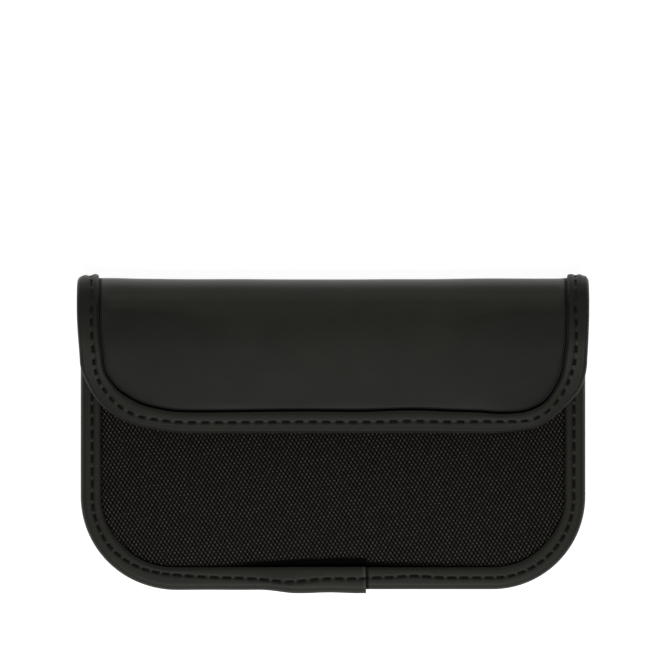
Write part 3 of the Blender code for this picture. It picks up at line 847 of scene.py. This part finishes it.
def edge_wear_and_painted_stitch_light(s, inward, pitch, seam, reach):
    """Wear of the tape, rubbed along its outermost fold, with a painted highlight on the puckers between
    stitches and painted shade in the stitch grooves.
    """
    uneven = 0.5 + 0.5 * waves(s[:, None], inward, 71, 16)
    on_seam = bell(inward, seam, 0.27)
    painted_pucker_highlight = smooth(-0.2 - np.cos(2 * np.pi * (s / pitch - 0.5)))[:, None] * on_seam
    edge = 0.12 * uneven * fading(inward, 0, 0.7) + 0.05 * bell(np.maximum(inward, 0), 0, 2.6)
    # Painted highlight on the puckers, painted shade under the stitches.
    return edge + 0.1 * painted_pucker_highlight - 0.7 * under_stitch(s, pitch, reach)[:, None] * on_seam


def tape_piece(name, s, inward, through, put, bodies, nodes, wear_and_painted_light=None):
    """A length of tape with s along it: put gives its points, here and one thickness of tape further in."""
    shell = put(inward, through), put(*tape_inside(inward, through))
    piece = slab(name, *shell, TAPE_FINISH, stacked(s[:, None], inward))
    # Rubbed coating, painted highlights and painted shade, for the tape's material.
    if wear_and_painted_light is not None:
        mark(piece, "wear_and_painted_light", wear_and_painted_light)
    return finish_piece(piece, bodies, nodes)


def body_tape():
    """The body's edge tape in two lengths. The left one laps over the right one and has a slanted cut end."""
    x, y = BODY_PATH[1:3]
    made = []
    for name, chosen, over, nodes in (
        ("edge_tape_left", (x < LAP_END) & ((x < 0) | (y < 0)), True, ("body_binding", "binding_overlap")),
        ("edge_tape_right", (x > -4) & ((x > 0) | (y < 0)), False, ("body_binding",)),
    ):
        path = [v[chosen] for v in BODY_PATH]
        s, px, py = path[:3]
        if over:
            px[-1] = LAP_END
        raised, seam = lap(px, py) * over, body_seam(px, py)
        cover = BODY_COVER + more_cover(py) + 0.1 * raised + 0.07 * waves(s, 0 * s, 41, 19)
        groove = dimples(s, BODY_PITCH, BODY_STITCH)
        inward, through = tape_profile(cover, 1.8, body_stack(py) + LAP_RISE * raised, groove, seam)
        cut = 0.3 * climb(px, 4, 5.4)[:, None] * raised[:, None]

        def put(across, depth):
            points = on_edge(path, across, depth, 0)
            points[..., 1] -= lap_shift(px[:, None], py[:, None], across) * over
            points[..., 0] -= cut * across / BODY_COVER
            return points

        at_cut = np.where(py < 0, px - LAP_END, -99)[:, None]
        pale = 0.22 * climb(at_cut, -0.9, 0.5) * over
        # Painted shadow of the left tape's cut end, across the right tape under it.
        dark = 0.8 * (np.abs(at_cut - 0.1) < 0.55) * (not over)
        wear_and_painted_light = np.maximum(edge_wear_and_painted_stitch_light(s, inward, BODY_PITCH, seam[:, None], BODY_STITCH), pale) - dark
        made.append(tape_piece(name, s, inward, through, put, "pouch", nodes, wear_and_painted_light))
    return made


def flap_tape():
    """The flap's edge tape, which follows its low sides and arched front."""
    s, x, y = FLAP_PATH[:3]
    cover, seam, groove = FLAP_COVER + widen(y), flap_seam(x, y), dimples(s, FLAP_PITCH, FLAP_STITCH)
    sway = 0.07 * waves(s, 0 * s, 43, 21) * smooth((34 - y) / 6)
    inward, through = tape_profile(cover + sway, 1.2, FLAP_STACK + 0 * s, groove, seam)
    y, inner_edge = y[:, None], (cover - 0.35)[:, None]
    wear_and_painted_light = edge_wear_and_painted_stitch_light(s, inward, FLAP_PITCH, seam[:, None], FLAP_STITCH)
    # Painted shade: on the rounded outer edge towards the front, along the inner edge beside the crease, and
    # more towards the fold.
    wear_and_painted_light = wear_and_painted_light - 0.4 * fading(inward, 0, 0.9) * smooth((30 - y) / 20)
    wear_and_painted_light = wear_and_painted_light - 0.6 * smooth((inward - inner_edge) / 0.25) * climb(y, 8, 8)
    wear_and_painted_light = wear_and_painted_light - 0.42 * climb(y, 25, 11)

    def put(across, depth):
        return on_edge(FLAP_PATH, across, depth, np.pi)

    return [tape_piece("flap_edge_tape", s, inward, through, put, "flap", ("flap_binding",), wear_and_painted_light)]


def fold_path(sign):
    """Length, x, y, inward x, inward y and turn along one end of the fold."""
    share = fold_shares(97)
    flat, turn = 0 * share, share * np.pi
    return [share * FOLD_LENGTH, flat + sign * FOLD_WIDTH / 2, flat + ARC_START, flat - sign, flat, turn]


def fold_seam(turn, sign):
    """How far in the fold's stitches run, between the back's and the flap's."""
    return BODY_SEAM + (flap_seam(sign * FOLD_WIDTH / 2, ARC_START) - BODY_SEAM) * smooth(turn / np.pi)


def crumple(turn, inward, sign):
    """How far the tape's outer face is pushed up over the crest, where it is crowded, with a low edge."""
    share = unit(turn / np.pi)
    fall = 0.45 * unit(1 - inward / (3.75 - 1.25 * sign))
    return (0.28 * (0.6 + waves(6 * share, inward, 51 + sign, 2.4)) - fall) * np.sin(np.pi * share) ** 4


def fold_tape():
    """The tape over both ends of the fold, between the body's tape and the flap's."""
    made = []
    for name, sign in (("fold_tape_left", -1), ("fold_tape_right", 1)):
        *path, turn = fold_path(sign)
        s, mix, seam = path[0], smooth(turn / np.pi), fold_seam(turn, sign)
        cover = BODY_COVER + (FLAP_COVER + widen(ARC_START) - BODY_COVER) * mix
        groove = dimples(s, FOLD_PITCH, FOLD_STITCH)
        inward, through = tape_profile(cover, 1.8 - 0.6 * mix[:, None], FLAP_STACK + 0 * s, groove, seam)
        turn = turn[:, None]
        through = through - crumple(turn, inward, sign) * unit((FLAP_STACK / 2 - through) / 0.8)
        wear_and_painted_light = edge_wear_and_painted_stitch_light(s, inward, FOLD_PITCH, seam[:, None], FOLD_STITCH)
        # Paler over the crest, and painted shade towards the flap's side, as on the flap's tape.
        wear_and_painted_light = wear_and_painted_light + 0.08 * np.sin(turn) ** 2 - 0.42 * smooth(turn / np.pi - 0.2)

        def put(across, depth):
            return on_edge(path, across, depth, turn)

        made.append(tape_piece(name, s, inward, through, put, CREST_BAND, (), wear_and_painted_light))
    return made


def thread_row(path, pitch, seam, put, reach, on_faces):
    """Points of a row of stitches: each is a short round thread that dives into the tape at both ends.

    Along a stitch, t runs from -1 to 1; its height over the groove falls with t to the fourth power.
    put(x, y, turn, depth, face, inward) gives the place of a point on the tape's outer (0) or far (1) face.
    """
    s = path[0]
    count = round(s[-1] / pitch - 0.3)
    centre = (np.arange(count) + 0.5) * pitch
    t = np.linspace(-1, 1, 9)
    rng = np.random.default_rng(61)
    along = centre[:, None] + t * pitch * rng.uniform(reach - 0.04, reach + 0.03, (count, 1))
    around = np.linspace(0, 2 * np.pi, 9)[:-1]
    girth = THREAD * np.sqrt(np.clip(1 - np.abs(t) ** 6, 0.15, 1))
    sway = rng.uniform(-0.09, 0.09, (count, 1))
    x, y, nx, ny, turn = (np.interp(along, s, v)[..., None] for v in path[1:])
    depth = (0.4 + 0.45 * t**4)[:, None] - girth[:, None] * np.cos(around) + 0 * x
    inward = seam(x, y, turn) + sway[..., None] + 0.14 * t[None, :, None] + girth[:, None] * np.sin(around)
    at = x + nx * inward, y + ny * inward, turn, depth
    return np.concatenate([put(*at, face, inward) for face in on_faces])


def stitches(name, made, body):
    """One piece of thread from the points of its rows of stitches."""
    total, rows, ring = made.shape[:3]
    k = np.arange(rows * ring).reshape(rows, ring)
    wall = np.stack([k[:-1], np.roll(k[:-1], -1, 1), np.roll(k[1:], -1, 1), k[1:]], -1).reshape(-1, 4)
    caps = np.array([[0, 3, 2, 1], [0, 5, 4, 3], [0, 7, 6, 5]])
    ends = np.concatenate([caps, (caps + (rows - 1) * ring)[:, ::-1]])
    one = np.concatenate([wall, ends])
    faces = (one[None] + (np.arange(total) * rows * ring)[:, None, None]).reshape(-1, 4)
    return finish_piece(make(name, made, faces, THREAD_FINISH, sharp=80), body)


def mouth_level(x, y):
    """Front of the tape round the pocket's mouth, lower where it goes under the side tape."""
    return front_height(x, y) + 0.72 - 0.35 * smooth((np.abs(x) - 62.5) / 3)


def mouth_tape():
    """Narrow tape folded over the woven panel's top edge, tucked under the side tape at both ends."""
    x = np.linspace(-66.4, 66.4, 260)
    groove = dimples(x + 61, MOUTH_PITCH, FLAP_STITCH)
    inward, through = tape_profile(5.5 + 0 * x, 0.8, 1.95 + 0 * x, groove, MOUTH_SEAM)

    def put(across, depth):
        y = MOUTH - across
        return stacked(x[:, None], y, mouth_level(x[:, None], y) - depth)

    return tape_piece("mouth_edge_tape", x, inward, through, put, "pouch", ("front_mouth_binding",))


def scatter(shape, faces, x, y, z, yaw, size):
    """Copies of one small form at many places, each turned by yaw about Z and scaled."""
    c, s = np.cos(yaw)[:, None], np.sin(yaw)[:, None]
    px, py, pz = (shape[:, i] * size[:, None] for i in range(3))
    points = np.stack([px * c - py * s + x[:, None], px * s + py * c + y[:, None], pz + z[:, None]], -1)
    every = faces[None] + (np.arange(len(x)) * len(shape))[:, None, None]
    return points.reshape(-1, 3), every.reshape(-1, faces.shape[1])


def bent_wire(centre, width):
    """A square wire along a row of places in the XZ plane."""
    t = np.gradient(centre, axis=0)
    t /= np.hypot(t[:, 0], t[:, 1])[:, None]
    side = np.stack([-t[:, 1], t[:, 0]], -1) * width
    ring = []
    for k, w in ((1, -width), (1, width), (-1, width), (-1, -width)):
        x, z = (centre + k * side).T
        ring.append(stacked(x, 0 * x + w, z))
    shape = np.stack(ring, 1).reshape(-1, 3)
    k = np.arange(len(shape)).reshape(-1, 4)
    wall = np.stack([k[:-1], k[1:], np.roll(k[1:], -1, 1), np.roll(k[:-1], -1, 1)], -1).reshape(-1, 4)
    return shape, np.concatenate([wall, [k[0], k[-1][::-1]]])


def strip(name, height, off, way, wire, count, material, node, body, slot):
    """A closure strip: a ground with a clipped edge that carries hooks in rows or loops at random.

    It lies off a surface's height, facing up where way is 1. count has the wires along x and along y, and how
    loosely they stand.
    """
    columns, rows, loose = count
    low, high = STRIP_MIDDLE - STRIP_REACH, STRIP_MIDDLE + STRIP_REACH
    x, y = np.meshgrid(np.linspace(-STRIP_HALF, STRIP_HALF, 61), np.linspace(low, high, 25), indexing="xy")
    edge = np.minimum(np.minimum(STRIP_HALF - np.abs(x), STRIP_REACH - np.abs(y - STRIP_MIDDLE)) / 0.6, 1)
    base = height(x, y) + off
    ground = layer(name, x, y, base + way * (0.2 + 0.1 * smooth(edge)), base, material)
    rng = np.random.default_rng(len(name))
    across, along = np.meshgrid(np.linspace(-29, 29, columns), np.linspace(low + 0.8, high - 0.8, rows))
    across = (across + (np.arange(rows)[:, None] % 2) * 29 / columns).ravel()
    px = np.clip(across + rng.uniform(-1, 1, across.size) * loose * 0.5, -29.4, 29.4)
    py = along.ravel() + rng.uniform(-1, 1, across.size) * loose * 0.5
    yaw = rng.uniform(0, np.pi, px.size) * loose
    size = rng.uniform(0.8, 1.15, px.size)
    shape, faces = bent_wire(wire * [1, way], 0.075)
    faces = faces if way < 0 else faces[:, ::-1]
    points, every = scatter(shape, faces, px, py, height(px, py) + off + way * 0.26, yaw, size)
    ground = finish_piece(ground, body, (node,))
    return ground, finish_piece(make(name + "_pile", points, every, material, sharp=80), body)


# --- build

sheet_piece = skin()
linings = lining()
foam()
fronts = front_layers()
tapes = body_tape() + flap_tape() + fold_tape()
mouth = mouth_tape()


def on_body(x, y, turn, depth, face, inward):
    """A place on the body's tape, on its back face (0) or its front face (1)."""
    points = place(x, y, turn, body_stack(y) + LAP_RISE * lap(x, y) - depth if face else depth)
    points[..., 1] -= lap_shift(x, y, inward)
    return points


def on_flap(x, y, turn, depth, face, inward):
    """A place on the flap's tape, on its outer face (0) or its inner one (1)."""
    return place(x, y, turn, FLAP_STACK - depth if face else depth)


def on_fold(x, y, turn, depth, face, inward):
    """A place on the outer face of the tape over the fold."""
    return place(x, y, turn, depth + 0.2 - crumple(turn, inward, 1 if x.mean() > 0 else -1))


def on_mouth(x, y, turn, depth, face, inward):
    """A place on the front of the tape round the pocket's mouth."""
    return stacked(x, y, mouth_level(x, y) - depth)


line = np.linspace(-61, 61, 40)
MOUTH_PATH = [line - line[0], line, 0 * line + MOUTH, 0 * line, 0 * line - 1, 0 * line]
BODY_TURN, FLAP_TURN = 0 * BODY_PATH[0], 0 * FLAP_PATH[0] + np.pi
threads = []
for name, body, path, pitch, seam, put, reach, faces in (
    ("body_stitches", "pouch", BODY_PATH + [BODY_TURN], BODY_PITCH, body_seam, on_body, 0.31, (0, 1)),
    ("flap_stitches", "flap", FLAP_PATH + [FLAP_TURN], FLAP_PITCH, flap_seam, on_flap, 0.24, (0, 1)),
    ("mouth_stitches", "pouch", MOUTH_PATH, MOUTH_PITCH, lambda x, y: MOUTH_SEAM, on_mouth, 0.26, (0,)),
):
    rows = thread_row(path, pitch, lambda x, y, turn: seam(x, y), put, reach, faces)
    threads.append(stitches(name, rows, body))
for name, sign in (("fold_stitches_left", -1), ("fold_stitches_right", 1)):
    path = fold_path(sign)
    rows = thread_row(path, FOLD_PITCH, lambda x, y, turn: fold_seam(turn, sign), on_fold, FOLD_STITCH, (0,))
    threads.append(stitches(name, rows, CREST_BAND))
bow = np.linspace(0, np.pi, 7)
loop_wire = stacked(0.42 * np.cos(bow), 0.42 * np.sin(bow))
hook_wire = np.array([[0, -0.05], [0, 0.2], [0.03, 0.33], [0.13, 0.4], [0.24, 0.34]])
loop_rows, hook_rows = (84, 17, 1), (62, 14, 0)
loop_place, hook_place = ("loop_strip", "pouch", "loop_fastener"), ("hook_strip", "flap", "hook_fastener")
loops = strip("loop_tape", front_height, 0.3, 1, loop_wire, loop_rows, LOOP_FINISH, *loop_place)
hooks = strip("hook_tape", flap_height, -2.5, -1, hook_wire, hook_rows, HOOK_FINISH, *hook_place)


def cut_corners(corner):
    """Area in mm2 that two round corners of the cut cloth leave out of its rectangle."""
    return (2 - math.pi / 2) * (corner[0] - SHEET_INSET) * (corner[1] - SHEET_INSET)


def cloth(piece, length, missing, with_pieces=()):
    """Takes a sheet, its flat cut in millimetres and what its round corners leave out in mm2, none of which
    is used, and reads with_pieces as a list.
    """
    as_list(with_pieces)


BACK_LENGTH, FLAP_LENGTH = ARC_START - BODY_BOTTOM - SHEET_INSET, ARC_START - FLAP_BOTTOM - SHEET_INSET
FRONT_LENGTH, DIVIDER_LENGTH = FRONT_END - BODY_BOTTOM - SHEET_INSET, DIVIDER_END - BODY_BOTTOM - SHEET_INSET
BODY_MISSING, FLAP_MISSING = cut_corners(BODY_CORNER), cut_corners(FLAP_CORNER)
SKIN_OVER_FOLD, LINING_OVER_FOLD = 21.7, 16
skin_length, skin_missing = BACK_LENGTH + SKIN_OVER_FOLD + FLAP_LENGTH, BODY_MISSING + FLAP_MISSING
on_skin, on_front = tapes + threads[:2] + threads[3:], [mouth, threads[2], *loops]
cloth(sheet_piece, skin_length, skin_missing, on_skin)
cloth(linings[0], BACK_LENGTH, BODY_MISSING)
cloth(linings[1], FLAP_LENGTH, FLAP_MISSING, hooks)
cloth(linings[2], LINING_OVER_FOLD, 0)
cloth(fronts[0], FRONT_LENGTH, BODY_MISSING, on_front)
cloth(fronts[1], FRONT_LENGTH, BODY_MISSING)
cloth(fronts[2], DIVIDER_LENGTH, BODY_MISSING)

# --- studio

scene = bpy.context.scene
scene.view_settings.view_transform = "Standard"

floor_material, tree, shader = finish("paper_backdrop_white")
plug(tree, shader, {"Base Color": rgb("#e6e6e6"), "Roughness": 1, "Specular IOR Level": 0})
ray = add(tree, "ShaderNodeLightPath").outputs
# In reflections only, the floor glows, brighter towards the fold's side: a painted reflection that lights the
# leatherette's highlights. Camera rays see it evenly white.
sweep = ramp(tree, parts(tree, "Object")["Y"], 0, 0.11, 0.28, 2.35)
glossy = number(tree, "MULTIPLY", ray["Is Glossy Ray"], sweep)
seen = number(tree, "MULTIPLY_ADD", ray["Is Camera Ray"], 0.85, glossy)
glow = add(tree, "ShaderNodeEmission", {"Color": (1, 1, 1, 1), "Strength": seen}).outputs["Emission"]
surface = add(tree, "ShaderNodeAddShader", {0: shader.outputs["BSDF"], 1: glow}).outputs["Shader"]
plug(tree, tree.nodes["Material Output"], {"Surface": surface})
FLOOR_HALF, FLOOR_LEVEL = 4000, -0.02
corners = [(x * FLOOR_HALF, y * FLOOR_HALF, FLOOR_LEVEL) for x, y in ((-1, -1), (1, -1), (1, 1), (-1, 1))]
make("floor", np.array(corners), np.array([[0, 1, 2, 3]]), floor_material)

world = bpy.data.worlds.new("studio")
scene.world = world
world.use_nodes = True
tree = world.node_tree
up = parts(tree, "Generated")
sides = number(tree, "MULTIPLY_ADD", number(tree, "ABSOLUTE", up["X"]), -0.8, 1)
ahead = number(tree, "MULTIPLY_ADD", up["Y"], 0.35, sides)
glow = number(tree, "MULTIPLY", ramp(tree, up["Z"], 0.05, 0.8, 0.95, 0.16), ahead)
seen = add(tree, "ShaderNodeLightPath").outputs["Is Camera Ray"]
strength = add(tree, "ShaderNodeMix", {"Factor": seen, "A": glow, "B": 1}).outputs["Result"]
plug(tree, tree.nodes["Background"], {"Color": (1, 1, 1, 1), "Strength": strength})

# One soft square box, which faces the pouch from its bottom side
LAMP_AT, LAMP_SIZE = (0, -470, 740), 480
light = bpy.data.lights.new("softbox_front_side", "AREA")
light.shape = "RECTANGLE"
light.size, light.size_y, light.energy = LAMP_SIZE * MM, LAMP_SIZE * MM, 3.6
softbox = bpy.data.objects.new("softbox_front_side", light)
scene.collection.objects.link(softbox)
softbox.location = np.array(LAMP_AT) * MM
x, y, z = LAMP_AT
softbox.rotation_euler = (math.atan2(math.hypot(x, y), z), 0, math.atan2(-x, y) + math.pi)

LENS, SENSOR, PIXELS = 300, 36, 666
PIXELS_PER_MM, SCALE_LEVEL = 3.534, 7  # the picture's scale, and the height in the pouch at which it holds
camera_data = bpy.data.cameras.new("camera")
camera_data.lens = LENS
camera_data.sensor_width = SENSOR
camera_data.clip_start, camera_data.clip_end = 0.1, 50
camera = bpy.data.objects.new("camera", camera_data)
scene.collection.objects.link(camera)
camera.location = (0, 0.02858, (SCALE_LEVEL + LENS / SENSOR * PIXELS / PIXELS_PER_MM) * MM)
scene.camera = camera
